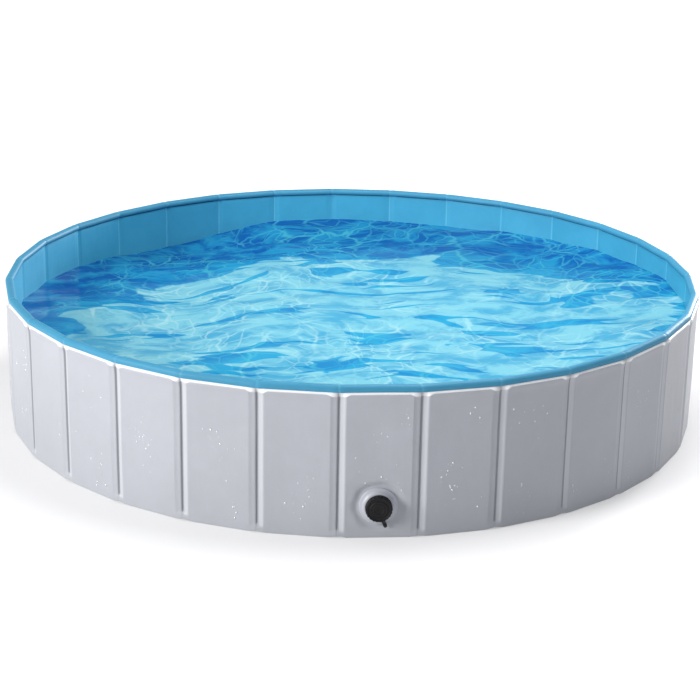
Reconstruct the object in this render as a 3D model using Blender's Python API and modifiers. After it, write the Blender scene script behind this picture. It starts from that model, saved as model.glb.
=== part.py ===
"""Round folding pet bath: a ring of stiff boards in a welded PVC wall, on a PVC floor, with a screw drain.

The ring has 31 equal panels. The panel with the drain is centred on -Y and stays still. The boards to its
right and left are two chains of fifteen, hinged at the welded seams, that close at the seam on +Y. Going
round from the drain, the seams fold outwards and inwards in turn, so the ring gathers like a bellows.
+Z is up, the bath stands on Z = 0, and the ring's axis is the Z axis. Lengths are metres.
"""
import math

import bmesh
import bpy
from mathutils import Matrix, Vector

# Ring
PANELS = 31
RING_RADIUS = 0.790
WALL_TOP = 0.320
CHAIN = PANELS // 2
PITCH_ANGLE = 2 * math.pi / PANELS
PANEL_LENGTH = 2 * RING_RADIUS * math.sin(math.pi / PANELS)
PANEL_PLANE = RING_RADIUS * math.cos(math.pi / PANELS)
HINGE_OFFSET = 0.008

# Boards
BOARD_THICK = 0.004
BOARD_BOTTOM = 0.006
BOARD_TOP = 0.299
SEAM_HALF = 0.010
BOARD_CORNER = 0.010

# Skins: each level is height, then the inside face's distance from the boards' middle at seam and panel
SKIN_THICK = 0.001
WELD_HALF = 0.0075
POCKET_START = 0.012
OUTER_LEVELS = (
    (0.0022, 0.0016, 0.0016),
    (0.0110, 0.0030, 0.0040),
    (0.0145, 0.0028, 0.0044),
    (0.0180, 0.0004, 0.0050),
    (0.2850, 0.0004, 0.0050),
    (0.3000, 0.0095, 0.0105),
    (0.3050, 0.0098, 0.0105),
    (0.3065, 0.0078, 0.0078),
)
INNER_LEVELS = (
    (0.0022, 0.0004, 0.0032),
    (0.0240, 0.0004, 0.0050),
    (0.2870, 0.0004, 0.0050),
    (0.3025, 0.0030, 0.0050),
)
GAP = 0.0003

# Padded rim
RIM_RADIUS = 0.008
RIM_INSET = 0.001

# Floor sheet
FLOOR_THICK = 0.0016
FLOOR_LIP = 0.004

# Drain: heights above the floor, radii about its axis and depths out from the boards' middle plane
DRAIN_HEIGHT = 0.069
BORE_RADIUS = 0.0155
SPIGOT_RADIUS = 0.019
THREAD_RADIUS = 0.0198
SKIN_FACE = 0.006
BOSS_RADIUS = 0.042
BOSS_TOP = 0.014
CAP_RADIUS = 0.027
CAP_BACK = 0.0145
CAP_FRONT = 0.027
SPIGOT_END = 0.0224
ROUND_STEPS = 36
TETHER_LEAN = math.radians(19)
TETHER_WIDTH = 0.008
TETHER_THICK = 0.0015
RIVET_REACH = 0.041

PARTS = "folding_pet_bath"


def clear_scene():
    for obj in list(bpy.data.objects):
        bpy.data.objects.remove(obj, do_unlink=True)
    for name in (PARTS, "cutters"):
        collection = bpy.data.collections.new(name)
        bpy.context.scene.collection.children.link(collection)
    bpy.data.collections["cutters"].hide_render = True


def material(name, colour, roughness, metallic=0.0):
    made = bpy.data.materials.new(name)
    made.use_nodes = True
    made.diffuse_color = (*colour, 1)
    shader = made.node_tree.nodes["Principled BSDF"]
    shader.inputs["Base Color"].default_value = (*colour, 1)
    shader.inputs["Roughness"].default_value = roughness
    shader.inputs["Metallic"].default_value = metallic
    return made


def add(name, mesh, mat=None, group=PARTS):
    obj = bpy.data.objects.new(name, mesh)
    bpy.data.collections[group].objects.link(obj)
    if mat:
        mesh.materials.append(mat)
    if group == "cutters":
        obj.hide_render = True
        obj.display_type = "WIRE"
    return obj


def cut(obj, cutter, operation="DIFFERENCE"):
    modifier = obj.modifiers.new(cutter.name, "BOOLEAN")
    modifier.operation = operation
    modifier.object = cutter


def shade(obj):
    obj.data.shade_smooth()
    obj.data.set_sharp_from_angle(angle=math.radians(35))


def seam_point(number, radius=RING_RADIUS):
    """Seam 1 is at the drain panel's +X end; the numbers go round anticlockwise, and seam 16 is on +Y."""
    angle = -math.pi / 2 + (number - 0.5) * PITCH_ANGLE
    return Vector((radius * math.cos(angle), radius * math.sin(angle), 0))


def hinge_point(number):
    """Odd seams fold outwards about an axis inside the boards, even seams inwards about one outside them."""
    offset = -HINGE_OFFSET if number % 2 else HINGE_OFFSET
    return seam_point(number, RING_RADIUS + offset)


# Boards

def board_mesh(name):
    """An upright plate with rounded corners, its centre at the origin and its length along X."""
    shape = bmesh.new()
    bmesh.ops.create_cube(shape, size=1)
    size = (PANEL_LENGTH - 2 * SEAM_HALF, BOARD_THICK, BOARD_TOP - BOARD_BOTTOM)
    bmesh.ops.scale(shape, vec=size, verts=shape.verts)
    corners = [edge for edge in shape.edges if abs((edge.verts[0].co - edge.verts[1].co).y) > BOARD_THICK / 2]
    bmesh.ops.bevel(shape, geom=corners, offset=BOARD_CORNER, segments=3, affect="EDGES", profile=0.5)
    mesh = bpy.data.meshes.new(name)
    shape.to_mesh(mesh)
    shape.free()
    return mesh


def add_board(name, first, second, hinge, mat):
    """A board between two seam points, its origin on its hinge's axis."""
    along = second - first
    turn = Matrix.Rotation(math.atan2(along.y, along.x), 4, "Z")
    centre = (first + second) / 2 + Vector((0, 0, (BOARD_TOP + BOARD_BOTTOM) / 2))
    mesh = board_mesh(name)
    mesh.transform(Matrix.Translation(turn.inverted() @ (centre - hinge)))
    board = add(name, mesh, mat)
    board.matrix_world = Matrix.Translation(hinge) @ turn
    return board


def hinge_to(child, parent):
    bpy.context.view_layer.update()
    child.parent = parent
    child.matrix_parent_inverse = parent.matrix_world.inverted()


def add_boards(mat):
    mirror = Matrix.Scale(-1, 4, (1, 0, 0))
    drain_board = add_board("board_drain", mirror @ seam_point(1), seam_point(1), Vector(), mat)
    cut(drain_board, drain_cutter("cutter_board_hole", SPIGOT_RADIUS + 0.005))
    for side, flip in (("right", Matrix()), ("left", mirror)):
        before = drain_board
        for number in range(1, CHAIN + 1):
            ends = (flip @ seam_point(number), flip @ seam_point(number + 1))
            board = add_board(f"board_{side}_{number:02d}", *ends, flip @ hinge_point(number), mat)
            hinge_to(board, before)
            before = board


# Skins, rim and floor

def ring_outline(seam, panel):
    """Points round the ring, at one distance from the boards' middle at the seams and another at the panels."""
    points = []
    for number in range(1, PANELS + 1):
        first, second = seam_point(number), seam_point(number + 1)
        along = (second - first).normalized()
        out = Vector((along.y, -along.x, 0))
        points.append(first + along * WELD_HALF + out * seam)
        points.append(first + along * POCKET_START + out * panel)
        points.append(second - along * POCKET_START + out * panel)
        points.append(second - along * WELD_HALF + out * seam)
    return points


def skin_mesh(name, levels, side):
    """A wall of rings joined one above another. side is 1 for the skin outside the boards, -1 for inside."""
    shape = bmesh.new()
    rings = []
    for height, seam, panel in levels:
        up = Vector((0, 0, height))
        rings.append([shape.verts.new(p + up) for p in ring_outline(side * seam, side * panel)])
    count = len(rings[0])
    for low, high in zip(rings, rings[1:]):
        for i in range(count):
            j = (i + 1) % count
            corners = (low[i], low[j], high[j], high[i])
            shape.faces.new(corners if side > 0 else corners[::-1])
    mesh = bpy.data.meshes.new(name)
    shape.to_mesh(mesh)
    shape.free()
    return mesh


def add_skin(name, levels, side, mat):
    skin = add(name, skin_mesh(name, levels, side), mat)
    solid = skin.modifiers.new("thickness", "SOLIDIFY")
    solid.thickness = SKIN_THICK
    solid.offset = 1
    cut(skin, drain_cutter(f"cutter_{name}", SPIGOT_RADIUS + 0.001))
    return skin


def add_rim(mat):
    """The padded roll along the wall's top, one closed tube through the seams."""
    curve = bpy.data.curves.new("rim_roll", "CURVE")
    curve.dimensions = "3D"
    curve.bevel_depth = RIM_RADIUS
    curve.bevel_resolution = 2
    spline = curve.splines.new("POLY")
    spline.points.add(PANELS - 1)
    height = WALL_TOP - RIM_RADIUS
    for number, point in enumerate(spline.points, start=1):
        place = seam_point(number, RING_RADIUS - RIM_INSET)
        point.co = (place.x, place.y, height, 1)
    spline.use_cyclic_u = True
    curve.materials.append(mat)
    rim = bpy.data.objects.new("rim_roll", curve)
    bpy.data.collections[PARTS].objects.link(rim)


def add_floor(mat):
    """A thin disc of 31 sides. Its first corner is on +Y, as seam 16 is."""
    shape = bmesh.new()
    radius = RING_RADIUS + FLOOR_LIP
    bmesh.ops.create_cone(
        shape, cap_ends=True, segments=PANELS, radius1=radius, radius2=radius, depth=FLOOR_THICK
    )
    mesh = bpy.data.meshes.new("floor_sheet")
    shape.to_mesh(mesh)
    shape.free()
    floor = add("floor_sheet", mesh, mat)
    floor.location.z = FLOOR_THICK / 2


# Drain. Local Z is the way out of the bath, from the boards' middle plane.

def drain_matrix():
    return Matrix.Translation((0, -PANEL_PLANE, DRAIN_HEIGHT)) @ Matrix.Rotation(math.pi / 2, 4, "X")


def drain_cutter(name, radius):
    shape = bmesh.new()
    bmesh.ops.create_cone(
        shape, cap_ends=True, segments=ROUND_STEPS, radius1=radius, radius2=radius, depth=0.04
    )
    mesh = bpy.data.meshes.new(name)
    shape.to_mesh(mesh)
    shape.free()
    cutter = add(name, mesh, group="cutters")
    cutter.matrix_world = drain_matrix()
    return cutter


def turned(name, profile, mat, closed=True):
    """A profile of radius and depth, turned about the drain's axis. Its outer side runs from front to back."""
    shape = bmesh.new()
    points = [shape.verts.new((radius, 0, depth)) for radius, depth in profile]
    for first, second in zip(points, points[1:] + (points[:1] if closed else [])):
        shape.edges.new((first, second))
    mesh = bpy.data.meshes.new(name)
    shape.to_mesh(mesh)
    shape.free()
    piece = add(name, mesh, mat)
    screw = piece.modifiers.new("turn", "SCREW")
    screw.steps = screw.render_steps = ROUND_STEPS
    screw.use_merge_vertices = True
    screw.merge_threshold = 0.00001
    piece.matrix_world = drain_matrix()
    return piece


def ring_profile(inside, outside, back, front):
    return ((outside, front), (outside, back), (inside, back), (inside, front))


def add_spigot(mat):
    """The threaded neck. Its flange is inside the bath, and three ridges stand for the thread."""
    flange_back, flange_front = -0.0102, -0.0081
    ridges = []
    for top in (0.0210, 0.0190, 0.0170):
        ridges += [(SPIGOT_RADIUS, top), (THREAD_RADIUS, top - 0.0005), (SPIGOT_RADIUS, top - 0.0010)]
    profile = [(BORE_RADIUS, SPIGOT_END), (SPIGOT_RADIUS, SPIGOT_END), *ridges]
    profile += [(SPIGOT_RADIUS, flange_front), (0.030, flange_front), (0.030, flange_back)]
    profile += [(BORE_RADIUS, flange_back)]
    return turned("drain_spigot", profile, mat)


def add_boss(mat):
    """The moulded cover round the neck, hollow over the nut and open towards the wall."""
    hole, hollow, roof = 0.0202, 0.0295, 0.0124
    profile = (
        (hole, BOSS_TOP),
        (0.0280, BOSS_TOP),
        (0.0310, 0.0128),
        (0.0345, 0.0096),
        (0.0380, 0.0080),
        (BOSS_RADIUS, 0.0072),
        (BOSS_RADIUS, SKIN_FACE + 0.0004),
        (hollow, SKIN_FACE + 0.0004),
        (hollow, roof),
        (hole, roof),
    )
    return turned("drain_boss", profile, mat)


def add_lock_nut(mat):
    """An eight-sided ring nut, screwed on the neck against the wall."""
    shape = bmesh.new()
    bmesh.ops.create_cone(shape, cap_ends=True, segments=8, radius1=0.028, radius2=0.028, depth=0.0038)
    mesh = bpy.data.meshes.new("drain_lock_nut")
    shape.to_mesh(mesh)
    shape.free()
    nut = add("drain_lock_nut", mesh, mat)
    nut.matrix_world = drain_matrix() @ Matrix.Translation((0, 0, 0.0101))
    cut(nut, drain_cutter("cutter_nut", SPIGOT_RADIUS + GAP))


def add_cap(mat):
    """A cup with a stepped face, a groove for the tether's ring, and a lip behind the groove."""
    grip_back, groove_radius, lip_radius = 0.0175, 0.0241, 0.0253
    inside, roof, face = 0.0206, 0.0244, 0.0262
    profile = (
        (0, face),
        (0.0090, face),
        (0.0095, face + 0.0006),
        (0.0170, face + 0.0006),
        (0.0175, face),
        (0.0220, face),
        (0.0228, CAP_FRONT),
        (0.0260, CAP_FRONT),
        (CAP_RADIUS, CAP_FRONT - 0.0012),
        (CAP_RADIUS, grip_back),
        (groove_radius, grip_back),
        (groove_radius, CAP_BACK + 0.0007),
        (lip_radius, CAP_BACK + 0.0007),
        (lip_radius, CAP_BACK),
        (inside, CAP_BACK),
        (inside, roof),
        (0, roof),
    )
    return turned("drain_cap", profile, mat, closed=False)


def strap_cutter(name, width, path):
    """A strap's solid: its side outline, in reach and depth, given a width across."""
    shape = bmesh.new()
    sides = []
    for across in (-width / 2, width / 2):
        sides.append([shape.verts.new((across, -reach, depth)) for reach, depth in path])
    shape.faces.new(sides[0])
    shape.faces.new(sides[1][::-1])
    count = len(path)
    for i in range(count):
        j = (i + 1) % count
        shape.faces.new((sides[0][j], sides[0][i], sides[1][i], sides[1][j]))
    bmesh.ops.recalc_face_normals(shape, faces=shape.faces)
    mesh = bpy.data.meshes.new(name)
    shape.to_mesh(mesh)
    shape.free()
    strap = add(name, mesh, group="cutters")
    strap.matrix_world = drain_matrix() @ Matrix.Rotation(TETHER_LEAN, 4, "Z")
    return strap


def add_tether(mat, rivet_mat):
    """A ring in the cap's groove and a strap down to a rivet on the boss's edge."""
    back, front = 0.0155, 0.0171
    low = 0.0102
    path = [(0.0250, front - 0.0001), (0.0322, front - 0.0001), (0.0382, low + TETHER_THICK)]
    path += [(0.0450, low + TETHER_THICK), (0.0450, low), (0.0372, low)]
    path += [(0.0314, back + 0.0001), (0.0250, back + 0.0001)]
    ring = turned("cap_tether", ring_profile(0.0245, CAP_RADIUS, back, front), mat)
    cut(ring, strap_cutter("cutter_strap", TETHER_WIDTH, path), "UNION")
    hole = drain_cutter("cutter_rivet_hole", 0.0019)
    reach = Matrix.Rotation(TETHER_LEAN, 4, "Z") @ Matrix.Translation((0, -RIVET_REACH, 0))
    hole.matrix_world = drain_matrix() @ reach
    cut(ring, hole)
    profile = ((0.0028, 0.0132), (0.0028, 0.0121), (0.0015, 0.0121), (0.0015, 0.0078))
    rivet = turned("tether_rivet", ((0, 0.0132), *profile, (0, 0.0078)), rivet_mat, closed=False)
    rivet.modifiers["turn"].steps = rivet.modifiers["turn"].render_steps = 16
    rivet.matrix_world = drain_matrix() @ reach


def add_drain():
    black = material("drain_black", (0.012, 0.012, 0.013), 0.42)
    rubber = material("drain_rubber", (0.03, 0.03, 0.032), 0.7)
    add_spigot(material("spigot_plastic", (0.32, 0.33, 0.36), 0.45))
    add_boss(material("boss_pvc", (0.52, 0.53, 0.57), 0.4))
    add_lock_nut(material("nut_plastic", (0.05, 0.05, 0.055), 0.5))
    add_cap(black)
    add_tether(material("tether_rubber", (0.015, 0.015, 0.016), 0.6), black)
    turned("outer_gasket", ring_profile(0.0195, 0.0285, SKIN_FACE + GAP, 0.0078), rubber)
    turned("inner_gasket", ring_profile(0.0195, 0.0285, -0.0078, -SKIN_FACE - GAP), rubber)
    turned("cap_seal", ring_profile(BORE_RADIUS, 0.0202, SPIGOT_END + GAP, 0.0241), rubber)


def main():
    clear_scene()
    add_boards(material("board_plastic", (0.80, 0.80, 0.78), 0.55))
    add_skin("outer_skin", OUTER_LEVELS, 1, material("grey_pvc", (0.50, 0.51, 0.56), 0.38))
    add_skin("inner_skin", INNER_LEVELS, -1, material("blue_pvc", (0.08, 0.36, 0.66), 0.36))
    add_rim(material("rim_pvc", (0.18, 0.50, 0.78), 0.36))
    add_floor(material("floor_pvc", (0.08, 0.40, 0.68), 0.4))
    add_drain()
    for obj in bpy.data.collections[PARTS].objects:
        if obj.type == "MESH":
            shade(obj)


main()
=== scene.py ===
"""Looks of the round folding pet bath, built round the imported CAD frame. Lengths are metres."""

import math
import random

import bmesh
import bpy
import numpy as np
from mathutils import Matrix, Vector, noise


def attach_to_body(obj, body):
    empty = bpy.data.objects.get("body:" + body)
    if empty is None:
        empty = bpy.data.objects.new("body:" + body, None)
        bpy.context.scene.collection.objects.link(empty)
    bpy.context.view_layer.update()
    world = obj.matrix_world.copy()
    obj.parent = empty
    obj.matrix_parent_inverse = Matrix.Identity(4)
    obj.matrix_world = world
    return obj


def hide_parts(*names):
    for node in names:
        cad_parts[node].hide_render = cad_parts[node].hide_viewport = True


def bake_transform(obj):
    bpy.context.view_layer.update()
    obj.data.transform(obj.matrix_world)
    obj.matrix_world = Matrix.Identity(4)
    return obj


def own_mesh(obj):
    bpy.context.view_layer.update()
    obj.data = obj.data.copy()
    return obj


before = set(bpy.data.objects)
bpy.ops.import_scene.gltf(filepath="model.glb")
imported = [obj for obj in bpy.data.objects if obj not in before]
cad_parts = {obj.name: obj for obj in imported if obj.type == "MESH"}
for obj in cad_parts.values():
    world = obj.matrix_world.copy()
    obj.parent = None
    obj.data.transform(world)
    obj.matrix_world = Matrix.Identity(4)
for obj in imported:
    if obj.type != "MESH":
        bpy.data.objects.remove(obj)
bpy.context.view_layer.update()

# Ring, as in the CAD: seam 1 is at the drain panel's +X end, seam 16 on +Y
PANELS = 31
RING = 0.790
PITCH = 2 * math.pi / PANELS
LENGTH = 2 * RING * math.sin(PITCH / 2)
PLANE = RING * math.cos(PITCH / 2)
CHAIN = PANELS // 2
TOP = 0.320
CORNER = 0.007
DRAIN_HALF = 0.064

# Drain
DRAIN_Z = 0.069
HOLE = 0.0195
LEAN = math.radians(19)
RIVET_REACH = 0.041

# Sheet thicknesses
SKIN = 0.0008
FLOOR_SKIN = 0.0012
WELD = 0.0012

WATER_LEVEL = 0.233

# A sharp edge is where faces meet at more than this
SHARP = 38

# Camera: turn and rise from the front, and roll, in degrees
CAMERA_TURN, CAMERA_RISE, CAMERA_ROLL = -4.309, 18.873, 0.997
CAMERA_AIM = (-0.0015, 0, 0.1216)
CAMERA_DISTANCE = 4.2924
CAMERA_LENS = 93.29


# Camera, lights and floor

def add_camera():
    turn, rise, roll = (math.radians(a) for a in (CAMERA_TURN, CAMERA_RISE, CAMERA_ROLL))
    back = Vector((math.sin(turn) * math.cos(rise), -math.cos(turn) * math.cos(rise), math.sin(rise)))
    right = (-back).cross(Vector((0, 0, 1))).normalized()
    up = right.cross(-back)
    across = right * math.cos(roll) + up * math.sin(roll)
    upright = up * math.cos(roll) - right * math.sin(roll)
    data = bpy.data.cameras.new("camera")
    data.lens = CAMERA_LENS
    data.sensor_width = 36
    data.clip_start, data.clip_end = 0.05, 200
    camera = bpy.data.objects.new("camera", data)
    bpy.context.scene.collection.objects.link(camera)
    place = Matrix((across, upright, back)).transposed().to_4x4()
    place.translation = Vector(CAMERA_AIM) + back * CAMERA_DISTANCE
    camera.matrix_world = place
    bpy.context.scene.camera = camera


def add_light(name, place, aim, power, size, colour=(1, 1, 1)):
    data = bpy.data.lights.new(name, "AREA")
    data.shape = "DISK"
    data.size = size
    data.energy = power
    data.color = colour
    light = bpy.data.objects.new(name, data)
    bpy.context.scene.collection.objects.link(light)
    light.location = place
    light.rotation_euler = (Vector(aim) - Vector(place)).to_track_quat("-Z", "Y").to_euler()


def add_world():
    scene = bpy.context.scene
    scene.view_settings.view_transform = "Standard"
    scene.view_settings.look = "None"
    world = bpy.data.worlds.new("studio")
    scene.world = world
    world.use_nodes = True
    tree = world.node_tree
    tree.nodes.clear()
    out = tree.nodes.new("ShaderNodeOutputWorld")
    seen = tree.nodes.new("ShaderNodeBackground")
    seen.inputs["Color"].default_value = (1, 1, 1, 1)
    seen.inputs["Strength"].default_value = 1.0
    lit = tree.nodes.new("ShaderNodeBackground")
    lit.inputs["Color"].default_value = (0.93, 0.96, 1.0, 1)
    lit.inputs["Strength"].default_value = 0.43
    path = tree.nodes.new("ShaderNodeLightPath")
    mix = tree.nodes.new("ShaderNodeMixShader")
    tree.links.new(path.outputs["Is Camera Ray"], mix.inputs["Fac"])
    tree.links.new(lit.outputs[0], mix.inputs[1])
    tree.links.new(seen.outputs[0], mix.inputs[2])
    tree.links.new(mix.outputs[0], out.inputs["Surface"])


def add_studio():
    add_world()
    add_light("key", (-5.5, -2.95, 2.3), (0, 0, 0.15), 480, 2.6, (1.0, 0.98, 0.95))
    add_light("top", (0.40, -0.15, 2.0), (0.1, 0, 0), 40, 1.2)
    add_light("side", (4.4, 5.0, 1.5), (0, 0, 0.15), 520, 1.8, (1.0, 0.97, 0.95))
    add_studio_floor()


def add_studio_floor():
    """A pale floor that is brighter further out, so that it has no edge against the background."""
    data = bpy.data.meshes.new("studio_floor")
    side = 40
    corners = [(-side, -side, 0), (side, -side, 0), (side, side, 0), (-side, side, 0)]
    data.from_pydata(corners, [], [(0, 1, 2, 3)])
    floor = bpy.data.objects.new("studio_floor", data)
    bpy.context.scene.collection.objects.link(floor)
    made = bpy.data.materials.new("studio_floor")
    made.use_nodes = True
    shader = made.node_tree.nodes["Principled BSDF"]
    shader.inputs["Base Color"].default_value = (0.52, 0.52, 0.53, 1)
    shader.inputs["Roughness"].default_value = 0.9
    shader.inputs["Specular IOR Level"].default_value = 0.1
    shader.inputs["Emission Color"].default_value = (1, 1, 1, 1)
    tree = made.node_tree
    where = tree.nodes.new("ShaderNodeTexCoord")
    reach = tree.nodes.new("ShaderNodeVectorMath")
    reach.operation = "LENGTH"
    glow = tree.nodes.new("ShaderNodeMapRange")
    for name, value in (("From Min", 0.9), ("From Max", 4.0), ("To Min", 0.36), ("To Max", 1.0)):
        glow.inputs[name].default_value = value
    tree.links.new(where.outputs["Object"], reach.inputs[0])
    tree.links.new(reach.outputs["Value"], glow.inputs["Value"])
    tree.links.new(glow.outputs[0], shader.inputs["Emission Strength"])
    data.materials.append(made)


# Materials

class Nodes:
    """A short way to write a material's node tree. A value may be a socket or a number."""

    def __init__(self, name):
        self.material = bpy.data.materials.new(name)
        self.material.use_nodes = True
        self.tree = self.material.node_tree
        self.shader = self.tree.nodes["Principled BSDF"]

    def put(self, socket, value):
        if isinstance(value, bpy.types.NodeSocket):
            self.tree.links.new(value, socket)
        elif hasattr(socket.default_value, "__len__") and not hasattr(value, "__len__"):
            socket.default_value = [value] * len(socket.default_value)
        elif hasattr(value, "__len__") and len(value) == 3 and len(socket.default_value) == 4:
            socket.default_value = (*value, 1)
        else:
            socket.default_value = value

    def node(self, kind, inputs=(), **settings):
        made = self.tree.nodes.new("ShaderNode" + kind)
        for key, value in settings.items():
            setattr(made, key, value)
        for key, value in dict(inputs).items():
            self.put(made.inputs[key], value)
        return made

    def math(self, operation, *values, clamp=False):
        made = self.node("Math", operation=operation, use_clamp=clamp)
        for socket, value in zip(made.inputs, values):
            self.put(socket, value)
        return made.outputs[0]

    def mix(self, factor, first, second, blend="MIX"):
        made = self.node("Mix", data_type="RGBA", blend_type=blend)
        self.put(made.inputs[0], factor)
        self.put(made.inputs[6], first)
        self.put(made.inputs[7], second)
        return made.outputs[2]

    def noise(self, where, scale, detail=3.0, rough=0.5):
        values = {"Vector": where, "Scale": scale, "Detail": detail, "Roughness": rough}
        return self.node("TexNoise", values).outputs["Fac"]

    def span(self, value, low, high, to_low=0.0, to_high=1.0):
        values = {"Value": value, "From Min": low, "From Max": high, "To Min": to_low, "To Max": to_high}
        return self.node("MapRange", values, interpolation_type="SMOOTHSTEP").outputs[0]

    def stretch(self, where, scale):
        return self.node("Mapping", {"Vector": where, "Scale": scale}).outputs[0]

    def bump(self, height, distance, strength=1.0, normal=None):
        made = self.node("Bump", {"Height": height, "Distance": distance, "Strength": strength})
        if normal:
            self.put(made.inputs["Normal"], normal)
        return made.outputs[0]

    def finish(self, colour, roughness, normal=None, specular=0.5, coat=0.0):
        self.put(self.shader.inputs["Base Color"], colour)
        self.put(self.shader.inputs["Roughness"], roughness)
        self.shader.inputs["Specular IOR Level"].default_value = specular
        self.shader.inputs["Coat Weight"].default_value = coat
        self.shader.inputs["Coat Roughness"].default_value = 0.25
        if normal:
            self.put(self.shader.inputs["Normal"], normal)
        return self.material


def pvc(name, colour, weld, low, rough, specular, edge=None, weld_width=0.0016, slope_highlight=0.0):
    """Coated PVC fabric. UV is metres round the ring and metres up, so seams are a panel's length apart.

    edge paints a highlight on the wall's top or a shade on the rim's underside: where it starts and ends,
    its share and its colour.
    The last argument is the share of a painted highlight on the slope right of each weld, the side that
    faces the key light.
    """
    n = Nodes(name)
    uv = n.node("UVMap", uv_map="metres").outputs[0]
    split = n.node("SeparateXYZ", {"Vector": uv})
    along, height = split.outputs[0], split.outputs[1]
    place = n.node("TexCoord").outputs["Object"]
    tone = n.noise(place, 5.0, 4.0, 0.55)
    cloud = n.noise(place, 38.0, 3.0, 0.6)
    mottle = n.span(n.math("ADD", tone, n.math("MULTIPLY", cloud, 0.35)), 0.45, 0.95)
    base = n.mix(mottle, low, colour)
    seam = n.math("PINGPONG", along, LENGTH / 2)
    weld_tint_and_crease_shade = n.span(seam, weld_width, weld_width + 0.0013, 1.0, 0.0)
    weld_tint_and_crease_shade = n.math("MULTIPLY", weld_tint_and_crease_shade, n.span(height, 0.015, 0.020))
    # Painted highlight: paler on the slope right of each weld, which faces the key light.
    if slope_highlight:
        side = n.math("WRAP", along, LENGTH / 2, -LENGTH / 2)
        pale = n.math("MULTIPLY", n.span(side, 0.0015, 0.0030), n.span(side, 0.0100, 0.0135, slope_highlight, 0.0))
        pale = n.math("MULTIPLY", pale, n.span(height, 0.009, 0.017))
        base = n.mix(pale, base, (0.70, 0.71, 0.75))
    # Colour along each weld: the welds' own paler tint on the blue, rim and floor, and a painted shade in
    # the seam's crease on the grey.
    base = n.mix(n.math("MULTIPLY", weld_tint_and_crease_shade, 0.60), base, weld)
    scuffs = n.span(n.noise(n.stretch(uv, (22.0, 150.0, 1.0)), 1.0, 4.0, 0.7), 0.66, 0.78)
    marks = n.math("MULTIPLY", scuffs, n.span(tone, 0.5, 0.62))
    base = n.mix(n.math("MULTIPLY", marks, 0.10), base, tuple(min(1, c * 1.35) for c in colour))
    # Painted light at the top: a highlight along the grey wall's top edge, reaching lower near the seams and
    # fading at them, and a shade on the rim's underside.
    if edge:
        first, last, share, tint = edge
        curl = n.math("MULTIPLY", n.span(seam, 0.009, 0.024, 1.0, 0.0), 0.005)
        edge_highlight_and_shade = n.math("MULTIPLY", n.span(n.math("ADD", height, curl), first, last), share)
        edge_highlight_and_shade = n.math("MULTIPLY", edge_highlight_and_shade, n.span(seam, 0.004, 0.014, 0.30, 1.0))
        base = n.mix(edge_highlight_and_shade, base, tint)
    warp = n.math("SINE", n.math("MULTIPLY", along, 2 * math.pi / 0.0011))
    weft = n.math("SINE", n.math("MULTIPLY", height, 2 * math.pi / 0.0011))
    cloth = n.math("ADD", warp, weft)
    peel = n.noise(place, 420.0, 2.0, 0.5)
    slack = n.noise(n.stretch(uv, (16.0, 7.0, 1.0)), 1.0, 3.0, 0.5)
    normal = n.bump(cloth, 0.00001, 0.5)
    normal = n.bump(peel, 0.00016, 0.5, normal)
    normal = n.bump(slack, 0.0032, 0.45, normal)
    shine = n.math("ADD", n.math("MULTIPLY", cloud, 0.10), rough - 0.05)
    shine = n.math("ADD", shine, n.math("MULTIPLY", marks, 0.12))
    shine = n.math("SUBTRACT", shine, n.math("MULTIPLY", weld_tint_and_crease_shade, 0.10), clamp=True)
    return n.finish(base, shine, normal, specular)


def plastic(name, colour, low, rough, grain, specular=0.5, wear=0.25):
    """Moulded plastic or rubber, with a fine spark texture, small scratches and edges made paler by wear."""
    n = Nodes(name)
    place = n.node("TexCoord").outputs["Object"]
    tone = n.noise(place, 45.0, 4.0, 0.6)
    base = n.mix(tone, low, colour)
    point = n.node("NewGeometry").outputs["Pointiness"]
    edges = n.span(point, 0.52, 0.60, 0.0, wear)
    pale = tuple(min(1.0, c * 1.7 + 0.035) for c in colour)
    base = n.mix(edges, base, pale)
    lines = n.span(n.noise(n.stretch(place, (40.0, 900.0, 260.0)), 1.0, 2.0, 0.6), 0.68, 0.74)
    base = n.mix(n.math("MULTIPLY", lines, 0.10), base, pale)
    spark = n.noise(place, grain, 2.0, 0.6)
    normal = n.bump(spark, 0.00012, 0.6)
    shine = n.math("ADD", n.math("MULTIPLY", tone, 0.14), rough - 0.07, clamp=True)
    return n.finish(base, shine, normal, specular)


def drop_material():
    n = Nodes("water_drop")
    n.shader.inputs["Transmission Weight"].default_value = 0.45
    n.shader.inputs["IOR"].default_value = 1.333
    return n.finish((1, 1, 1), 0.04, None, 1.0, 1.0)


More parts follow.
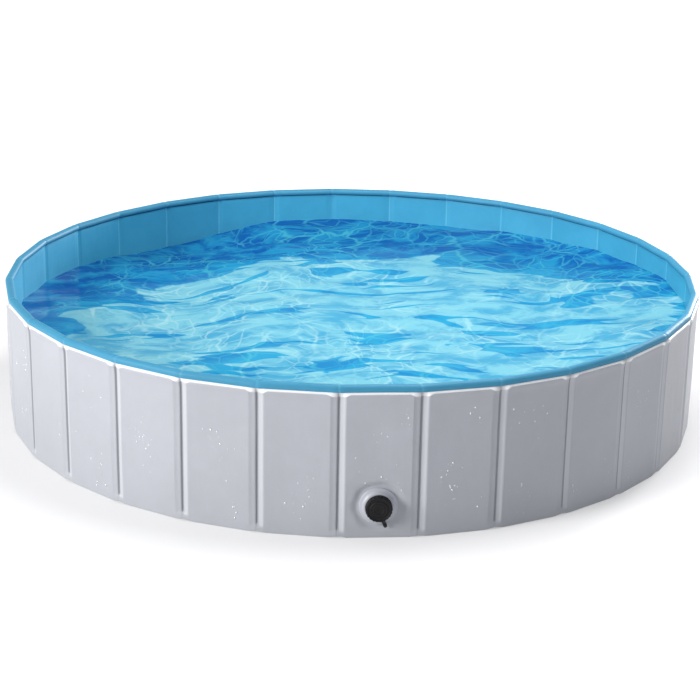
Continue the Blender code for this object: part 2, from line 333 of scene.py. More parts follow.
def water_material():
    """Rippled water, its light painted into its colour: pale patches and thin blue streaks as painted
    reflections of the wave facets, deep blue at the back and left, and a painted web of caustic lines.
    """
    n = Nodes("water")
    place = n.node("TexCoord").outputs["Object"]

    def warped(where, scale, amount):
        twist = n.node("TexNoise", {"Vector": where, "Scale": scale, "Detail": 2.5, "Roughness": 0.5})
        shift = n.node("VectorMath", {0: twist.outputs["Color"], 1: (0.5, 0.5, 0.5)}, operation="SUBTRACT")
        shift = n.node("VectorMath", {0: shift.outputs[0], 3: amount}, operation="SCALE")
        return n.node("VectorMath", {0: where, 1: shift.outputs[0]}, operation="ADD").outputs[0]

    def painted_caustic_web(where, scale, width):
        cells = n.node(
            "TexVoronoi", {"Vector": where, "Scale": scale},
            feature="DISTANCE_TO_EDGE", voronoi_dimensions="2D",
        )
        return n.span(cells.outputs["Distance"], 0.0, width, 1.0, 0.0)

    soft = warped(place, 3.2, 0.22)
    fine = warped(soft, 13.0, 0.06)
    middle = n.node("VectorMath", {0: soft, 1: (0.05, -0.43, WATER_LEVEL)}, operation="DISTANCE")
    middle = middle.outputs["Value"]
    swell = n.noise(n.stretch(soft, (3.0, 6.5, 1.0)), 1.0, 2.5, 0.55)
    reach = n.math("ADD", middle, n.math("MULTIPLY", n.math("SUBTRACT", swell, 0.5), 0.75))
    deep_side = n.span(reach, 0.800, 0.812)
    waves = n.noise(n.stretch(soft, (2.4, 11.0, 1.0)), 1.0, 1.2, 0.4)
    right = n.span(n.node("SeparateXYZ", {"Vector": place}).outputs[0], -0.1, 0.7)
    width = n.span(n.noise(place, 5.5, 1.0), 0.45, 0.68, 0.0, 0.060)
    width = n.math("MULTIPLY", width, n.math("ADD", 0.8, n.math("MULTIPLY", right, 0.9)))
    off = n.math("ABSOLUTE", n.math("SUBTRACT", waves, 0.5))
    streak = n.math("SUBTRACT", 1.0, n.span(n.math("SUBTRACT", off, width), -0.006, 0.0))
    small = n.noise(n.stretch(soft, (2.6, 13.0, 1.0)), 1.0, 1.2, 0.45)
    thin = n.span(n.noise(n.stretch(place, (3.0, 8.0, 1.0)), 1.0, 1.0), 0.50, 0.70, 0.0, 0.060)
    off_small = n.math("ABSOLUTE", n.math("SUBTRACT", small, 0.5))
    streak = n.math("MAXIMUM", streak, n.span(n.math("SUBTRACT", off_small, thin), -0.006, 0.0, 1.0, 0.0))
    # Painted reflections: the blue streaks of the wave facets, together with the deep blue at the back and
    # left, choose the blue over the pale.
    blue_side = n.math("MAXIMUM", deep_side, streak)

    # Painted caustic light: a web of pale lines from focused light, over both the pale and the blue water.
    lines = n.math("ADD", painted_caustic_web(fine, 9.0, 0.060), n.math("MULTIPLY", painted_caustic_web(fine, 24.0, 0.10), 0.7), clamp=True)
    lines = n.math("MULTIPLY", lines, n.span(n.noise(place, 6.0, 3.0), 0.34, 0.60))
    mottle = n.noise(n.stretch(fine, (11.0, 19.0, 1.0)), 1.0, 4.0, 0.62)
    far = n.span(middle, 0.72, 0.98)
    pale = n.mix(n.span(mottle, 0.36, 0.60), (0.044, 0.262, 0.415), (0.138, 0.385, 0.475))
    pale = n.mix(n.math("MULTIPLY", lines, 0.52), pale, (0.33, 0.53, 0.55))
    shallow = n.mix(n.span(mottle, 0.35, 0.62), (0.0075, 0.165, 0.37), (0.016, 0.25, 0.43))
    deep = n.mix(n.span(mottle, 0.40, 0.62), (0.0035, 0.075, 0.28), (0.012, 0.19, 0.38))
    blue = n.mix(far, shallow, deep)
    blue = n.mix(n.math("MULTIPLY", lines, 0.70), blue, (0.050, 0.33, 0.43))
    colour = n.mix(blue_side, pale, blue)
    chop = n.noise(fine, 22.0, 3.0, 0.5)
    normal = n.bump(chop, 0.004, 0.5)
    return n.finish(colour, 0.06, normal, 0.03)


# Grey skin, with painted light: its dark weld colour is a painted shade in the crease of each seam, the pale
# share right of each weld a painted highlight on the slope that faces the key light, and its edge band a
# painted highlight along the top of the wall.
GREY = pvc(
    "grey_pvc", colour=(0.337, 0.350, 0.388), weld=(0.17, 0.177, 0.20), low=(0.317, 0.329, 0.364),
    rough=0.42, specular=0.5, edge=(0.3005, 0.3035, 0.92, (0.82, 0.82, 0.84)), weld_width=0.0020, slope_highlight=0.22,
)
BLUE = pvc(
    "blue_pvc", colour=(0.046, 0.310, 0.485), weld=(0.11, 0.43, 0.60), low=(0.039, 0.278, 0.442),
    rough=0.50, specular=0.3,
)
# Rim: its edge band is a painted shade on the underside of the roll.
RIM = pvc(
    "rim_pvc", colour=(0.044, 0.232, 0.375), weld=(0.066, 0.262, 0.40), low=(0.037, 0.206, 0.337),
    rough=0.50, specular=0.22, edge=(0.3062, 0.3048, 0.85, (0.01, 0.05, 0.10)),
)
FLOOR = pvc(
    "floor_pvc", colour=(0.055, 0.33, 0.54), weld=(0.12, 0.43, 0.62), low=(0.045, 0.285, 0.48),
    rough=0.46, specular=0.4,
)
BLACK = plastic("cap_plastic", (0.006, 0.006, 0.007), (0.003, 0.003, 0.004), 0.50, 2400.0, 0.22, 0.03)
RUBBER = plastic("strap_rubber", (0.016, 0.016, 0.017), (0.010, 0.010, 0.011), 0.62, 1500.0, 0.35, 0.12)
BOSS = plastic("boss_pvc", (0.37, 0.385, 0.43), (0.34, 0.355, 0.40), 0.42, 1300.0, 0.5, 0.05)
SPIGOT = plastic("spigot_plastic", (0.32, 0.33, 0.36), (0.27, 0.28, 0.31), 0.42, 1800.0)
NUT = plastic("nut_plastic", (0.05, 0.05, 0.055), (0.035, 0.035, 0.04), 0.48, 1800.0)
GASKET = plastic("gasket_rubber", (0.03, 0.03, 0.032), (0.02, 0.02, 0.022), 0.7, 1200.0, 0.3)
BOARD = plastic("board_plastic", (0.80, 0.80, 0.78), (0.72, 0.72, 0.70), 0.52, 700.0, 0.4, 0.15)


# Meshes

def add_mesh(name, points, faces, material, uv=None, smooth_angle=SHARP):
    """A mesh of the points that its faces use. uv has one pair for each point."""
    used, index = np.unique(np.concatenate([np.asarray(f) for f in faces]), return_inverse=True)
    sizes = [len(f) for f in faces]
    starts = np.cumsum([0] + sizes[:-1])
    mesh = bpy.data.meshes.new(name)
    corners = [index[s:s + c].tolist() for s, c in zip(starts, sizes)]
    mesh.from_pydata(np.asarray(points)[used].tolist(), [], corners)
    if uv is not None:
        layer = mesh.uv_layers.new(name="metres")
        corner = np.zeros(len(mesh.loops), np.int32)
        mesh.loops.foreach_get("vertex_index", corner)
        layer.data.foreach_set("uv", np.asarray(uv, np.float32)[used][corner].ravel())
    mesh.materials.append(material)
    mesh.shade_smooth()
    mesh.set_sharp_from_angle(angle=math.radians(smooth_angle))
    obj = bpy.data.objects.new(name, mesh)
    bpy.context.scene.collection.objects.link(obj)
    return obj


def grid_normals(grid):
    """The unit normal at each point of a grid (rows, columns, 3)."""
    across = np.gradient(grid, axis=1)
    upward = np.gradient(grid, axis=0)
    normal = np.cross(across, upward)
    return normal / np.maximum(np.linalg.norm(normal, axis=2, keepdims=True), 1e-12)


def shell(name, grid, uv, thickness, material, keep=None, flip=False):
    """A closed sheet from a grid of points (rows, columns, 3), with its thickness behind it.

    keep says which cells it has, for a hole.
    """
    rows, columns = grid.shape[:2]
    normal = grid_normals(grid) * (-1 if flip else 1)
    count = rows * columns
    points = np.concatenate([grid.reshape(-1, 3), (grid - normal * thickness).reshape(-1, 3)])
    both = np.concatenate([uv.reshape(-1, 2)] * 2)
    fronts = []
    for r in range(rows - 1):
        for c in range(columns - 1):
            if keep is None or keep[r, c]:
                a = r * columns + c
                quad = (a, a + 1, a + 1 + columns, a + columns)
                fronts.append(quad[::-1] if flip else quad)
    edges = {(q[i], q[(i + 1) % 4]) for q in fronts for i in range(4)}
    sides = [(b, a, a + count, b + count) for a, b in edges if (b, a) not in edges]
    backs = [tuple(v + count for v in q[::-1]) for q in fronts]
    return add_mesh(name, points, fronts + sorted(sides) + backs, material, both)


def tube(name, rings, uv, material):
    """A tube with closed ends through rings of points (rings, points round, 3)."""
    count, around = rings.shape[:2]
    faces = []
    for r in range(count - 1):
        for c in range(around):
            d = (c + 1) % around
            faces.append((r * around + c, r * around + d, (r + 1) * around + d, (r + 1) * around + c))
    faces.append(tuple(range(around))[::-1])
    faces.append(tuple((count - 1) * around + c for c in range(around)))
    return add_mesh(name, rings.reshape(-1, 3), faces, material, uv.reshape(-1, 2))


def seam_angle(seam):
    """Where a seam is round the ring, from +X."""
    return -math.pi / 2 + (seam - 0.5) * PITCH


def ring_place(seam, along, out, height):
    """Points by distance along the wall from a seam, distance out from the boards' middle, and height."""
    half = PITCH / 2
    size = np.abs(along)
    x = along * math.cos(half)
    y = -math.sin(half) * np.where(size < CORNER, (CORNER + along * along / CORNER) / 2, size)
    turn = half * np.clip(along / CORNER, -1, 1)
    x = x + out * np.sin(turn)
    y = y + out * np.cos(turn) + RING
    angle = seam_angle(seam)
    outward = np.array([math.cos(angle), math.sin(angle)])
    round_it = np.array([-math.sin(angle), math.cos(angle)])
    flat = y[..., None] * outward + x[..., None] * round_it
    return np.concatenate([flat, height[..., None]], axis=-1)


def rough_ground(points, scale, seed):
    """Smooth noise from -1 to 1 at each point."""
    flat = points.reshape(-1, 3) * scale + seed
    values = [noise.noise(Vector(p)) for p in flat]
    return np.array(values).reshape(points.shape[:-1])


def smooth(value, low, high):
    """From 0 at low to 1 at high, with soft ends."""
    t = np.clip((value - low) / (high - low), 0, 1)
    return t * t * (3 - 2 * t)


def along_steps(low, high):
    """Distances along the wall: close together at the seam, further apart on the flat."""
    near = [0.0, 0.0005, 0.001, 0.0016, 0.0022, 0.003, 0.004, 0.0055, 0.007, 0.0085, 0.010]
    near += [0.0112, 0.0124, 0.0136, 0.0148, 0.016, 0.0172, 0.019, 0.023]
    far = np.linspace(0.031, LENGTH / 2, 6).tolist()
    steps = sorted({s for d in near + far for s in (-d, d)})
    inside = [s for s in steps if low < s < high]
    ends = [e for e in (low, high) if all(abs(e - s) > 1e-6 for s in inside)]
    return np.array(sorted(set(inside + ends)))


# Walls. Each level is height, then depth from the boards' middle at a panel and at a seam.
OUTER_LEVELS = np.array((
    (0.0006, 0.0046, 0.0040), (0.0025, 0.0052, 0.0044), (0.0060, 0.0057, 0.0046), (0.0100, 0.0059, 0.0046),
    (0.0130, 0.0061, 0.0042), (0.0150, 0.0062, 0.0034), (0.0170, 0.0063, 0.0022), (0.0195, 0.0064, 0.0016),
    (0.0240, 0.0065, 0.0015), (0.0340, 0.0067, 0.0015), (0.0500, 0.0069, 0.0015), (0.0750, 0.0072, 0.0015),
    (0.1050, 0.0074, 0.0015), (0.1400, 0.0075, 0.0015), (0.1750, 0.0074, 0.0015), (0.2100, 0.0073, 0.0015),
    (0.2450, 0.0074, 0.0015), (0.2680, 0.0077, 0.0015), (0.2800, 0.0079, 0.0016), (0.2860, 0.0082, 0.0017),
    (0.2900, 0.0086, 0.0020), (0.2930, 0.0091, 0.0026), (0.2955, 0.0096, 0.0033), (0.2975, 0.0099, 0.0040),
    (0.2992, 0.0100, 0.0046), (0.3008, 0.0098, 0.0050), (0.3022, 0.0092, 0.0051), (0.3034, 0.0084, 0.0050),
    (0.3044, 0.0074, 0.0047), (0.3052, 0.0063, 0.0042), (0.3056, 0.0051, 0.0036), (0.3052, 0.0040, 0.0030),
    (0.3040, 0.0032, 0.0024),
))
INNER_LEVELS = np.array((
    (0.0019, 0.0094, 0.0088), (0.0026, 0.0090, 0.0083), (0.0042, 0.0084, 0.0076), (0.0070, 0.0077, 0.0068),
    (0.0100, 0.0073, 0.0062), (0.0140, 0.0070, 0.0057), (0.0190, 0.0068, 0.0054), (0.0260, 0.0067, 0.0052),
    (0.0400, 0.0068, 0.0052), (0.0700, 0.0070, 0.0053), (0.1050, 0.0071, 0.0054), (0.1400, 0.0071, 0.0054),
    (0.1750, 0.0070, 0.0054), (0.2100, 0.0069, 0.0053), (0.2450, 0.0068, 0.0052), (0.2680, 0.0068, 0.0052),
    (0.2800, 0.0069, 0.0052), (0.2880, 0.0070, 0.0052), (0.2950, 0.0071, 0.0052), (0.3000, 0.0070, 0.0052),
    (0.3040, 0.0067, 0.0052), (0.3065, 0.0062, 0.0050),
))


def slope_up(t):
    """From 0 to 1, with a slope that grows to three quarters of the way and then eases off."""
    t = np.clip(t, 0, 1)
    late = np.maximum(t - 0.75, 0)
    early = np.minimum(t, 0.75)
    return (0.25 * early + 0.5 * early ** 2 + late - 2 * late ** 2) / 0.59375


def groove(along, side):
    """0 at a seam's weld and 1 on the panel: a narrow crease, then a wide gentle slope on each side."""
    size = np.abs(along)
    later = along * side > 0
    narrow = np.where(later, 0.0020, 0.0046)
    step = np.where(later, 0.16, 0.58)
    width = np.where(later, 0.0130, 0.0125)
    crease = 1 - (1 - np.clip((size - 0.0003) / narrow, 0, 1)) ** 2
    return step * crease + (1 - step) * slope_up((size - narrow) / width)


def sway(points):
    """How far the top edge rises or sinks along the ring."""
    return 0.0016 * rough_ground(points, 3.3, 7.7) - 0.0004


def wall_grid(seam, low, high, levels, side):
    """Points and UV of a stretch of wall. side is 1 for the outer skin and -1 for the inner."""
    steps = along_steps(low, high)
    if high - low < 0.13 and seam == 0:
        steps = np.linspace(low, high, 65)
    along = np.tile(steps, (len(levels), 1))
    height = np.tile(levels[:, :1], (1, len(steps)))
    share = groove(along, side) if seam else np.ones_like(along)
    depth = levels[:, 2:3] + (levels[:, 1:2] - levels[:, 2:3]) * share
    flat = 0 * along
    place = ring_place(seam, along, flat, height) if seam else drain_panel(along, flat, height)
    body = smooth(height, 0.02, 0.06) * (1 - smooth(height, 0.26, 0.293)) * share
    ripple = rough_ground(place, 9.0, 3.1) * 0.0009 + rough_ground(place, 24.0, 11.7) * 0.0003
    depth = depth + ripple * body
    hem = smooth(height, 0.28, 0.298)
    height = height + sway(place * (1, 1, 0)) * smooth(height, 0.20, 0.30)
    depth = depth + hem * rough_ground(place, 30.0, 21.3) * 0.0005
    if side > 0:
        lifted = (1 - smooth(height, 0.001, 0.009)) * np.exp(-((along / 0.013) ** 2)) * (seam > 0)
        height = height + lifted * (0.0030 + 0.0012 * rough_ground(place, 6.0, 5.5))
        bead = np.exp(-((along / 0.0024) ** 2) - ((height - 0.0165) / 0.0024) ** 2)
        depth = depth + 0.0017 * bead * (seam > 0)
    return along, depth * side, height


def drain_panel(along, out, height):
    """Points on the panel with the drain, whose middle is on -Y."""
    return np.stack([along, -PLANE - out, height], axis=-1)


def bodies_at(seam):
    """The bodies on the clockwise and the anticlockwise side of a seam."""
    def body(panel):
        panel %= PANELS
        if panel == 0:
            return "base"
        return f"right_{panel:02d}" if panel <= CHAIN else f"left_{PANELS - panel:02d}"
    return body(seam - 1), body(seam)


def seam_name(seam):
    """Seams are counted away from the drain on each side."""
    return f"right_{seam:02d}" if seam <= CHAIN else f"left_{PANELS + 1 - seam:02d}"


def attach(obj, seam, slot_name, *nodes):
    """The piece lies between the two panels at its seam; its place is baked into its mesh, and it stands for
    these CAD nodes, which are hidden.
    """
    before, after = bodies_at(seam)
    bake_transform(obj)
    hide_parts(*nodes)


def fix(obj, body, slot_name, *nodes):
    """The piece goes with one body, and stands for these CAD nodes."""
    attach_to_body(obj, body)
    if nodes:
        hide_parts(*nodes)


def metres_uv(seam, along, levels):
    """UV in metres along the wall and up its section."""
    upward = np.tile(section_run(levels)[:, None], (1, along.shape[1]))
    return np.stack([seam * LENGTH + along, upward], axis=-1)


def section_run(levels):
    """How far each level is along the wall's section, from the bottom edge."""
    return np.concatenate([[0], np.cumsum(np.hypot(np.diff(levels[:, 0]), np.diff(levels[:, 1])))])


def wall_piece(name, seam, low, high, levels, side, material):
    """A piece of skin round a seam, from low to high along the wall."""
    along, depth, height = wall_grid(seam, low, high, levels, side)
    grid = ring_place(seam, along, depth, height)
    made = shell(name, grid, metres_uv(seam, along, levels), SKIN, material, flip=side < 0)
    return made


def weld_strip(name, seam, flip):
    """Closes the wall's end between the two skins, where the ring is opened."""
    heights = np.linspace(0.004, 0.302, 12)
    depths = np.linspace(-0.0058, 0.0026, 4)
    depth, height = np.meshgrid(depths, heights)
    none = 0 * depth
    height = height + sway(ring_place(seam, none, none, none)) * smooth(height, 0.20, 0.30)
    grid = ring_place(seam, none, depth, height)
    uv = np.stack([seam * LENGTH + 0.02 + depth, height], axis=-1)
    return shell(name, grid, uv, WELD, BLUE, flip=flip)


def drain_wall(name, levels, side, material):
    """The middle of the drain panel, with a round hole and a dent round the boss."""
    peak = int(levels[:, 0].argmax()) + 1
    rows = np.unique(np.concatenate([levels[:peak, 0], np.linspace(0.02, 0.13, 56)]))
    dense = np.stack([np.interp(rows, levels[:peak, 0], levels[:peak, k]) for k in (0, 1, 2)], axis=1)
    dense = np.concatenate([dense, levels[peak:]])
    along, depth, height = wall_grid(0, -DRAIN_HALF, DRAIN_HALF, dense, side)
    reach = np.hypot(along, height - DRAIN_Z)
    angle = np.arctan2(height - DRAIN_Z, along)
    near_flat = smooth(height, 0.004, 0.018)
    if side > 0:
        dent = 0.0030 * np.exp(-(((reach - 0.043) / 0.008) ** 2))
        dent = dent + 0.0013 * np.exp(-((reach / 0.050) ** 2))
        pucker = 0.0006 * np.exp(-(((reach - 0.050) / 0.010) ** 2))
        pucker = pucker * np.sin(angle * 6 + 0.8 + 0.7 * np.sin(2 * angle))
        depth = depth - (dent + pucker) * near_flat
    else:
        depth = depth + 0.0006 * np.exp(-(((reach - 0.032) / 0.006) ** 2)) * near_flat
    grid = drain_panel(along, depth, height)
    middle = (grid[:-1, :-1] + grid[1:, 1:]) / 2
    keep = np.hypot(middle[..., 0], middle[..., 2] - DRAIN_Z) > HOLE + 0.0012
    made = shell(name, grid, metres_uv(0.5, along, dense), SKIN, material, keep, flip=side < 0)
    return made


def rim_piece(name, seam, low, high):
    """A piece of the padded rim round a seam, pinched at the seam and with a low ridge along its outside."""
    steps = along_steps(low, high)
    around = 28
    angle = np.linspace(0, 2 * math.pi, around, endpoint=False)
    along = np.tile(steps[:, None], (1, around))
    turn = np.tile(angle, (len(steps), 1))
    pinch = 1 - 0.075 * np.exp(-((along / 0.0045) ** 2))
    world = ring_place(seam, along, 0 * along - 0.001, np.full_like(along, TOP - 0.008))
    round_it = np.stack([np.cos(turn), np.sin(turn), turn * 0], -1)
    wobble = rough_ground(world + 0.4 * round_it * 0.05, 26.0, 8.8)
    wrapped = (turn + math.pi) % (2 * math.pi) - math.pi
    ridge = 0.05 * np.exp(-(((wrapped + 0.50) / 0.15) ** 2))
    ridge = ridge - 0.05 * np.exp(-(((wrapped + 0.10) / 0.26) ** 2))
    size = pinch * (1 + 0.03 * wobble + ridge)
    out = -0.002 + 0.0093 * size * np.cos(turn)
    height = TOP - 0.0095 + 0.0088 * np.minimum(size, 1) * np.sin(turn)
    level = height
    height = level + sway(world * (1, 1, 0))
    rings = ring_place(seam, along, out, height)
    uv = np.stack([seam * LENGTH + along, level], axis=-1)
    made = tube(name, rings[:, ::-1], uv[:, ::-1], RIM)
    return made


def add_walls():
    half = LENGTH / 2
    for seam in range(1, PANELS + 1):
        if seam == CHAIN + 1:
            continue
        low = -half if seam != 1 else -(half - DRAIN_HALF)
        high = half if seam != PANELS else half - DRAIN_HALF
        tag = seam_name(seam)
        outer = wall_piece(f"outer_{tag}", seam, low, high, OUTER_LEVELS, 1, GREY)
        attach(outer, seam, "grey_pvc", "outer_skin")
        inner = wall_piece(f"inner_{tag}", seam, low, high, INNER_LEVELS, -1, BLUE)
        attach(inner, seam, "blue_pvc", "inner_skin")
        attach(rim_piece(f"rim_{tag}", seam, -half, half), seam, "rim_pvc", "rim_roll")
    closing = CHAIN + 1
    ends = (("right", "right_15", -half, 0.0), ("left", "left_15", 0.0, half))
    for side, body, low, high in ends:
        tag = f"{side}_{closing}"
        outer = wall_piece(f"outer_{tag}", closing, low, high, OUTER_LEVELS, 1, GREY)
        fix(outer, body, "grey_pvc", "outer_skin")
        inner = wall_piece(f"inner_{tag}", closing, low, high, INNER_LEVELS, -1, BLUE)
        fix(inner, body, "blue_pvc", "inner_skin")
        fix(rim_piece(f"rim_{tag}", closing, low, high), body, "rim_pvc", "rim_roll")
    for side, body, low, _ in ends:
        fix(weld_strip(f"weld_{side}_{closing}", closing, low >= 0), body, "blue_pvc", "inner_skin")
    fix(drain_wall("outer_drain", OUTER_LEVELS, 1, GREY), "base", "grey_pvc", "outer_skin")
    fix(drain_wall("inner_drain", INNER_LEVELS, -1, BLUE), "base", "blue_pvc", "inner_skin")


def add_floor_gores():
    """The floor in 31 gores. Each goes with its wall panel."""
    outermost = [0.745, 0.760, 0.772, 0.7790, 0.7825]
    inward = np.concatenate([[0.0004, 0.012, 0.03], np.linspace(0.06, 0.72, 12), outermost])
    share = np.linspace(-0.5, 0.5, 9)
    for panel in range(PANELS):
        angle = -math.pi / 2 + panel * PITCH
        out = np.array([math.cos(angle), math.sin(angle)])
        side = np.array([-math.sin(angle), math.cos(angle)])
        reach = np.tile(inward[:, None], (1, len(share)))
        across = share[None, :] * 2 * reach * math.tan(PITCH / 2)
        flat = reach[..., None] * out + across[..., None] * side
        place = np.concatenate([flat, np.zeros_like(reach)[..., None]], axis=-1)
        folds = np.abs(rough_ground(place, 6.0, 1.9)) * 0.0030 + rough_ground(place, 17.0, 4.2) * 0.0008
        height = 0.0016 + np.maximum(folds, 0) * (1 - smooth(reach, 0.70, 0.77))
        place[..., 2] = height
        uv = np.stack([across + panel * LENGTH + LENGTH / 2, reach], axis=-1)
        tag = "drain" if panel == 0 else bodies_at(panel)[1]
        gore = shell(f"floor_{tag}", place, uv, FLOOR_SKIN, FLOOR, flip=True)
        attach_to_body(gore, bodies_at(panel)[1])
        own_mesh(gore)
        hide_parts("floor_sheet")


# Drain parts, in the drain's own axes: Z is the way out, from the boards' middle plane

def drain_matrix():
    """From the drain's own axes to the ring's."""
    return Matrix.Translation((0, -PLANE, DRAIN_Z)) @ Matrix.Rotation(math.pi / 2, 4, "X")


def lathe(name, profile, material, steps=96, closed=True, shape=None, matrix=None):
    """A profile of radius and depth turned round the axis. shape may change both by angle."""
    profile = np.array(profile, float)
    angle = np.linspace(0, 2 * math.pi, steps, endpoint=False)
    radius = np.tile(profile[:, :1], (1, steps))
    depth = np.tile(profile[:, 1:], (1, steps))
    turn = np.tile(angle, (len(profile), 1))
    if shape:
        radius, depth = shape(radius, depth, turn)
    points = np.stack([radius * np.cos(turn), radius * np.sin(turn), depth], axis=-1).reshape(-1, 3)
    rows = len(profile)
    faces = []
    for r in range(rows if closed else rows - 1):
        s = (r + 1) % rows
        for c in range(steps):
            d = (c + 1) % steps
            faces.append((r * steps + c, r * steps + d, s * steps + d, s * steps + c))
    obj = add_mesh(name, points, faces, material)
    clean(obj)
    obj.data.transform(matrix or drain_matrix())
    return obj


def clean(obj):
    """Joins the points on the axis and turns the faces outwards."""
    shape = bmesh.new()
    shape.from_mesh(obj.data)
    bmesh.ops.remove_doubles(shape, verts=shape.verts, dist=1e-6)
    bmesh.ops.dissolve_degenerate(shape, dist=1e-6, edges=shape.edges)
    bmesh.ops.recalc_face_normals(shape, faces=shape.faces)
    shape.to_mesh(obj.data)
    shape.free()
    obj.data.shade_smooth()
    obj.data.set_sharp_from_angle(angle=math.radians(SHARP))


def rounded(points, radius=0.0004, steps=3):
    """The profile with each corner cut by a small arc. Points on the axis stay."""
    points = [Vector(p) for p in points]
    made = []
    for i, p in enumerate(points):
        before, after = points[i - 1], points[(i + 1) % len(points)]
        if p.x < 1e-9:
            made.append(tuple(p))
            continue
        a, b = before - p, after - p
        size = min(radius, a.length * 0.45, b.length * 0.45)
        first, last = p + a.normalized() * size, p + b.normalized() * size
        for k in range(steps + 1):
            t = k / steps
            made.append(tuple(first * (1 - t) ** 2 + p * 2 * t * (1 - t) + last * t * t))
    return made


def add_cap():
    face, front, back = 0.0262, 0.0270, 0.0145
    outline = (
        (0, face - 0.0006), (0.0012, face - 0.0006), (0.0016, face), (0.0088, face),
        (0.0094, face + 0.0006),
        (0.0118, face + 0.0006), (0.0122, face + 0.0002), (0.0150, face + 0.0002), (0.0154, face + 0.0006),
        (0.0170, face + 0.0006), (0.0176, face - 0.0003), (0.0216, face - 0.0003), (0.0226, front - 0.0002),
        (0.0240, front), (0.0256, front - 0.0002), (0.0266, front - 0.0012), (0.0269, front - 0.0024),
        (0.0269, 0.0222), (0.0269, 0.0198), (0.0269, 0.0184), (0.0264, 0.0176), (0.0242, 0.0175),
        (0.0241, 0.0154), (0.0252, 0.0152), (0.0253, back), (0.0207, back), (0.0206, 0.0243), (0, 0.0243),
    )

    def ribs(radius, depth, turn):
        grip = (radius > 0.0255) * smooth(depth, 0.0172, 0.0186) * (1 - smooth(depth, 0.0262, 0.0270))
        wave = 0.5 + 0.5 * np.cos(turn * 22)
        return radius - grip * 0.0013 * (1 - wave ** 0.55), depth

    cap = lathe("drain_cap_body", rounded(outline, 0.0003, 2), BLACK, steps=220, closed=False, shape=ribs)
    fix(cap, "cap", "cap", "drain_cap")


def add_boss():
    outline = (
        (0.0203, 0.0139), (0.0212, 0.0142), (0.0262, 0.0142), (0.0280, 0.0139), (0.0296, 0.0132),
        (0.0312, 0.0122), (0.0330, 0.0109), (0.0350, 0.0098), (0.0372, 0.0089), (0.0394, 0.0082),
        (0.0412, 0.0076), (0.0422, 0.0068), (0.0424, 0.0052), (0.0418, 0.0036), (0.0300, 0.0036),
        (0.0295, 0.0060), (0.0295, 0.0124), (0.0203, 0.0125),
    )

    def soft(radius, depth, turn):
        outer = smooth(radius, 0.030, 0.041)
        radius = radius - 0.30 * np.maximum(radius - 0.030, 0)
        radius = radius + 0.0005 * outer * np.sin(3 * turn + 0.6)
        return radius, depth + 0.0004 * outer * np.sin(2 * turn + 1.9)

    boss = lathe("boss_cover", rounded(outline, 0.0005, 2), BOSS, steps=120, shape=soft)
    fix(boss, "base", "boss", "drain_boss")


def add_spigot():
    bore, wall, ridge, pitch = 0.0155, 0.0190, 0.0008, 0.0040
    neck = [(bore, 0.0224), (0.0186, 0.0224), (wall, 0.0220)]
    neck += [(wall, d) for d in np.linspace(0.0218, 0.0124, 40)]
    neck += [(wall, -0.0079), (0.0296, -0.0079), (0.0300, -0.0083), (0.0300, -0.0098), (0.0294, -0.0102)]
    neck += [(0.0168, -0.0102), (bore, -0.0094)]

    def thread(radius, depth, turn):
        on_neck = (np.abs(radius - wall) < 1e-6) * smooth(depth, 0.0126, 0.0140)
        on_neck = on_neck * (1 - smooth(depth, 0.0205, 0.0218))
        phase = (depth / pitch + turn / (2 * math.pi)) % 1.0
        return radius + ridge * on_neck * np.clip(1 - np.abs(phase - 0.5) * 5, 0, 1), depth

    spigot = lathe("spigot_neck", neck, SPIGOT, steps=96, shape=thread)
    fix(spigot, "base", "spigot", "drain_spigot")


def strap_mesh():
    """The strap from the ring down to the rivet, with rounded long edges and a round end."""
    path = [(0.0252, 0.0163), (0.0285, 0.0163), (0.0312, 0.0161), (0.0335, 0.0150), (0.0356, 0.0130)]
    path += [(0.0376, 0.0114), (0.0394, 0.0110), (0.0425, 0.0110), (0.0455, 0.0110), (0.0468, 0.0110)]
    widths = [1.15, 1.0, 0.95, 0.95, 0.97, 1.0, 1.02, 1.0, 0.82, 0.45]
    points = np.array(path)
    tangent = np.gradient(points, axis=0)
    tangent /= np.linalg.norm(tangent, axis=1, keepdims=True)
    normal = np.stack([-tangent[:, 1], tangent[:, 0]], axis=1)
    half_wide, half_thick = 0.0040, 0.00075
    section = []
    for k in range(16):
        a = 2 * math.pi * k / 16
        wide, thick = math.cos(a), math.sin(a)
        wide = math.copysign(abs(wide) ** 0.5, wide)
        thick = math.copysign(abs(thick) ** 0.7, thick)
        section.append((wide * half_wide, thick * half_thick))
    rings = []
    for (reach, rise), (lean, lift), share in zip(points, normal, widths):
        rings.append([(share * a, -(reach + lean * b), rise + lift * b) for a, b in section])
    return np.array(rings)


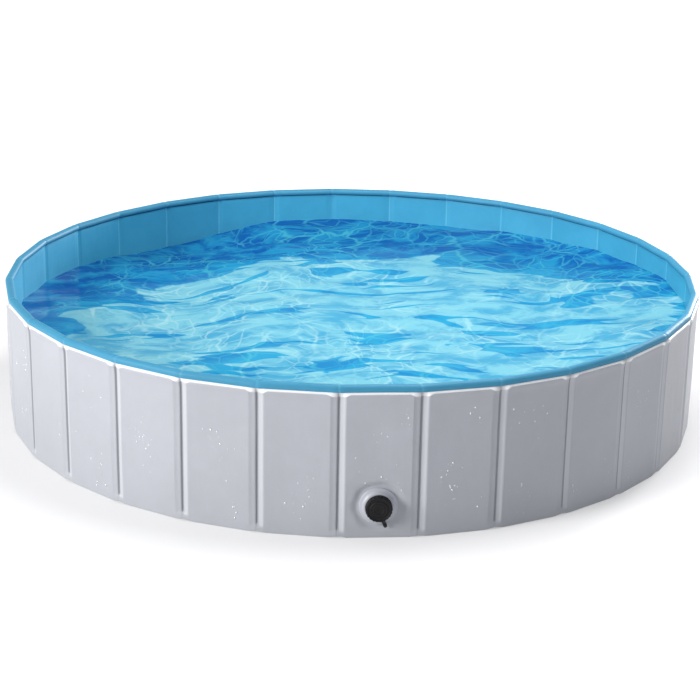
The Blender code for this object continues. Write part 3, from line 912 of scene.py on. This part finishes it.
def add_tether():
    outline = rounded(((0.0270, 0.0171), (0.0270, 0.0155), (0.0246, 0.0155), (0.0246, 0.0171)), 0.0004, 3)
    ring = lathe("tether_ring_part", outline, RUBBER, steps=96)
    rings = strap_mesh()
    strap = tube("tether_strap_part", rings, np.zeros((*rings.shape[:2], 2)), RUBBER)
    clean(strap)
    strap.data.transform(drain_matrix() @ Matrix.Rotation(LEAN, 4, "Z"))
    join = bmesh.new()
    join.from_mesh(ring.data)
    join.from_mesh(strap.data)
    mesh = bpy.data.meshes.new("cap_strap")
    join.to_mesh(mesh)
    join.free()
    mesh.materials.append(RUBBER)
    mesh.shade_smooth()
    mesh.set_sharp_from_angle(angle=math.radians(SHARP))
    for part in (ring, strap):
        bpy.data.objects.remove(part)
    obj = bpy.data.objects.new("cap_strap", mesh)
    bpy.context.scene.collection.objects.link(obj)
    lean = drain_matrix() @ Matrix.Rotation(LEAN, 4, "Z")
    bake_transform(obj)
    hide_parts("cap_tether")
    head = ((0, 0.01335), (0.0012, 0.0132), (0.0022, 0.0129), (0.0027, 0.0125), (0.0028, 0.0121))
    stem = ((0.0026, 0.0119), (0.0015, 0.0118), (0.0015, 0.0080), (0, 0.0078))
    reach = lean @ Matrix.Translation((0, -RIVET_REACH, 0))
    rivet = lathe("strap_rivet", head + stem, BLACK, steps=32, closed=False, matrix=reach)
    fix(rivet, "base", "cap", "tether_rivet")


def finish_cad_nodes():
    """Materials for the hidden parts, which keep their CAD shapes."""
    finishes = {"drain_lock_nut": NUT, "outer_gasket": GASKET, "inner_gasket": GASKET, "cap_seal": GASKET}
    for name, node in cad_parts.items():
        material = BOARD if name.startswith("board") else finishes.get(name)
        if material:
            node.data.materials.clear()
            node.data.materials.append(material)
            node.data.set_sharp_from_angle(angle=math.radians(35))


# Contents of the bath: not part of the object

def wave_height(x, y):
    """Long low swells with shorter ones across them."""
    total = 0.0
    for size, scale, seed in ((0.0085, 3.0, 2.2), (0.0040, 7.0, 9.1), (0.0014, 17.0, 5.3)):
        total += size * noise.noise(Vector((x * scale * 0.75, y * scale * 1.35, seed)))
    trough = 0.013 * math.exp(-(((x + 0.42) / 0.22) ** 2) - ((y - 0.60) / 0.20) ** 2)
    return total - (0.022 * smooth(-x, 0.12, 0.46) + trough) + 0.016 * smooth(x, 0.45, 0.76)


def add_water():
    count = 220
    shape = bmesh.new()
    edge = RING - 0.0055
    steps = np.linspace(-edge, edge, count)
    rows = []
    for y in steps:
        row = []
        for x in steps:
            row.append(shape.verts.new((x, y, 0)) if math.hypot(x, y) <= edge else None)
        rows.append(row)
    for r in range(count - 1):
        for c in range(count - 1):
            corners = [rows[r][c], rows[r][c + 1], rows[r + 1][c + 1], rows[r + 1][c]]
            if all(corners):
                shape.faces.new(corners)
    border = [v for v in shape.verts if v.is_boundary]
    for v in border:
        v.co = v.co.normalized() * edge
    for v in shape.verts:
        v.co.z = WATER_LEVEL + wave_height(v.co.x, v.co.y)
    loose = [v for v in shape.verts if not v.link_faces]
    bmesh.ops.delete(shape, geom=loose, context="VERTS")
    mesh = bpy.data.meshes.new("water")
    shape.to_mesh(mesh)
    shape.free()
    mesh.shade_smooth()
    mesh.materials.append(water_material())
    water = bpy.data.objects.new("water", mesh)
    bpy.context.scene.collection.objects.link(water)
    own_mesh(water)


def add_drops():
    """Water drops on the outer wall, as small domes."""
    dice = random.Random(31)
    around, rings = 10, 4
    points, faces, spots = [], [], []
    for _ in range(150):
        panel = dice.randrange(PANELS)
        middle, level = dice.uniform(-0.05, 0.05), dice.uniform(0.03, 0.27)
        for _ in range(dice.randrange(2, 12)):
            spots.append((panel, dice.gauss(middle, 0.011), dice.gauss(level, 0.018)))
    for panel, along, height in spots:
        size = 0.0006 + 0.0015 * dice.random() ** 3
        if abs(along) > 0.064 or not 0.02 < height < 0.28:
            continue
        tall = dice.uniform(1.0, 1.5)
        if panel == 0 and math.hypot(along, height - DRAIN_Z) < 0.055:
            continue
        angle = -math.pi / 2 + panel * PITCH
        out = np.array([math.cos(angle), math.sin(angle), 0])
        side = np.array([-math.sin(angle), math.cos(angle), 0])
        middle = out * (PLANE + 0.0071) + side * along + np.array([0, 0, height])
        first = len(points)
        for ring in range(rings):
            rise = ring / rings * math.pi / 2
            for k in range(around):
                turn = 2 * math.pi * k / around
                flat = size * math.cos(rise)
                point = middle + side * flat * math.cos(turn)
                point = point + np.array([0, 0, flat * tall * math.sin(turn)])
                points.append(point + out * size * 0.6 * math.sin(rise))
        points.append(middle + out * size * 0.6)
        points.append(middle - out * size * 0.1)
        for k in range(around):
            after = (k + 1) % around
            for ring in range(rings - 1):
                a, b = first + ring * around, first + (ring + 1) * around
                faces.append((a + k, a + after, b + after, b + k))
            last = first + (rings - 1) * around
            faces.append((last + k, last + after, first + rings * around))
            faces.append((first + after, first + k, first + rings * around + 1))
    drops = add_mesh("drops", np.array(points), faces, drop_material(), smooth_angle=70)
    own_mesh(drops)


add_camera()
add_studio()
finish_cad_nodes()
add_walls()
add_floor_gores()
add_cap()
add_boss()
add_spigot()
add_tether()
add_water()
add_drops()
